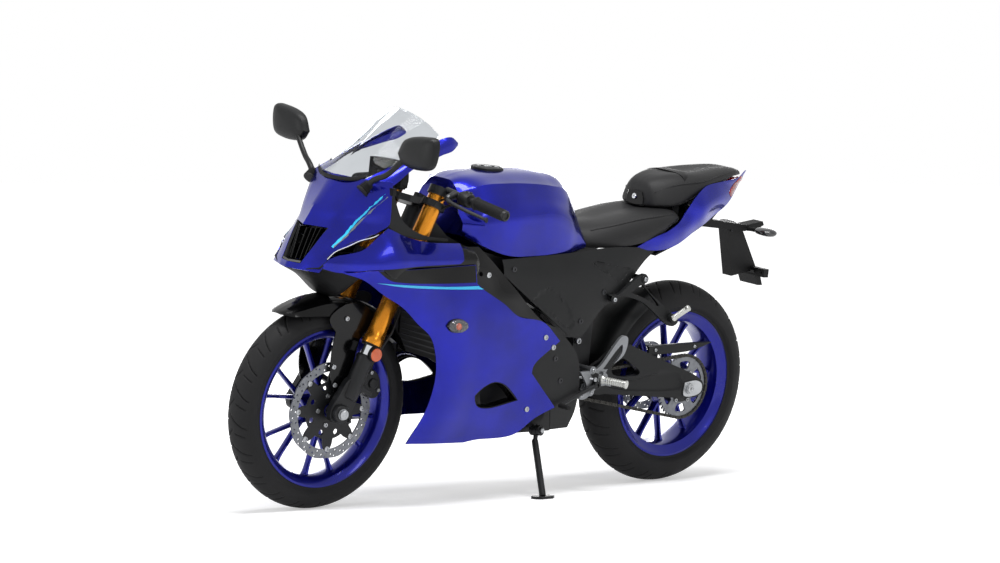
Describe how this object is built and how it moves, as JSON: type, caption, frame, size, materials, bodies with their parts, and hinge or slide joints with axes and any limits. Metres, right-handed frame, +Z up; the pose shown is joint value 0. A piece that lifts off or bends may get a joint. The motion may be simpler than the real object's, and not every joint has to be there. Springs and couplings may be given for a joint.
{
  "type": "sport motorcycle",
  "caption": "Sport motorcycle with a full fairing, upside-down fork, clip-on bars, cast wheels, chain drive and raised tail, leaning on its side stand.",
  "frame": {"origin": "on the floor under the middle of the bounding box, with the bike leaning left on its side stand", "axes": "+X forwards, +Y to the rider's left, +Z up"},
  "size_m": [1.9785, 0.7474, 1.1497],
  "materials": {
    "blue_paint": "deep metallic blue lacquer",
    "gold_anodised": "gold anodised",
    "chrome": "polished",
    "black_satin": "satin black",
    "black_gloss": "gloss black",
    "black_paint": "black painted",
    "grey_cast": "cast, semi-matt",
    "steel": "bright steel",
    "dark_steel": "oiled steel",
    "seat_cover": "grained seat cover",
    "rubber": "matt rubber",
    "tyre": "matt tyre rubber",
    "smoked_screen": "lightly smoked",
    "clear_lens": "clear",
    "smoked_lens": "smoked",
    "amber": "amber reflector",
    "red_lens": "red",
    "mirror": "mirror"
  },
  "bodies": {
    "chassis": {"brake_pedal": "dark_steel", "chain": "dark_steel", "chain_guard": "black_satin", "cockpit_panels": "black_satin", "engine": "black_paint", "exhaust": "black_paint", "fairing_left": "blue_paint", "fairing_right": "blue_paint", "foot_pegs": "steel", "front_indicators": "clear_lens", "fuel_tank": "blue_paint", "headlamp": "black_gloss", "hugger": "black_satin", "infill_panels": "black_gloss", "instrument": "black_satin", "lamp_lenses": "clear_lens", "main_frame": "black_paint", "mirror_glasses": "mirror", "mirrors": "black_satin", "nose_cowl": "blue_paint", "pillion_brackets": "black_paint", "pillion_seat": "seat_cover", "radiator": "black_paint", "rear_axle": "steel", "rear_caliper": "black_paint", "rear_indicators": "smoked_lens", "rear_shock": "dark_steel", "rider_seat": "seat_cover", "shift_lever": "dark_steel", "side_covers": "black_satin", "stand_bracket": "black_paint", "step_brackets": "grey_cast", "swingarm": "black_satin", "tail_bracket": "black_satin", "tail_cowl": "blue_paint", "tail_lamp": "red_lens", "undertray": "black_satin", "upper_fairings": "blue_paint", "windscreen": "smoked_screen"},
    "steering": {"triple_clamps": "black_paint", "fork_outer_tubes": "gold_anodised", "fork_inner_tubes": "chrome", "fork_feet": "black_paint", "front_axle": "steel", "front_caliper": "black_paint", "clip_ons": "black_satin", "grips": "rubber", "levers": "black_paint", "front_fender": "black_gloss", "fork_reflectors": "amber", "brake_hose": "rubber"},
    "front_wheel_body": {"front_wheel": "blue_paint", "front_tyre": "tyre", "front_disc": "steel"},
    "rear_wheel_body": {"rear_wheel": "blue_paint", "rear_tyre": "tyre", "rear_disc": "steel", "rear_sprocket": "dark_steel"},
    "stand": {"side_stand": "black_paint"},
    "filler_lid": {"fuel_cap": "black_satin"}
  },
  "joints": [
    {"name": "steering_turn", "type": "hinge", "parent": "chassis", "child": "steering", "pos_m": [0.43207, -0.03754, 0.7929], "axis": [-0.4067, 0.1271, 0.9047], "range_deg": [-26, 26]},
    {"name": "front_wheel_spin", "type": "hinge", "parent": "steering", "child": "front_wheel_body", "pos_m": [0.69325, -0.10769, 0.2938], "axis": [0, 0.9903, -0.1392], "continuous": true},
    {"name": "rear_wheel_spin", "type": "hinge", "parent": "chassis", "child": "rear_wheel_body", "pos_m": [-0.63175, -0.10518, 0.31162], "axis": [0, 0.9903, -0.1392], "continuous": true},
    {"name": "side_stand_fold", "type": "hinge", "parent": "chassis", "child": "stand", "pos_m": [-0.03425, 0.00158, 0.19463], "axis": [-0.179, 0.9838, 0.0091], "range_deg": [0, 98]},
    {"name": "filler_lid_open", "type": "hinge", "parent": "chassis", "child": "filler_lid", "pos_m": [0.19075, -0.01152, 0.97808], "axis": [0, 0.9903, -0.1392], "range_deg": [0, 95]}
  ]
}
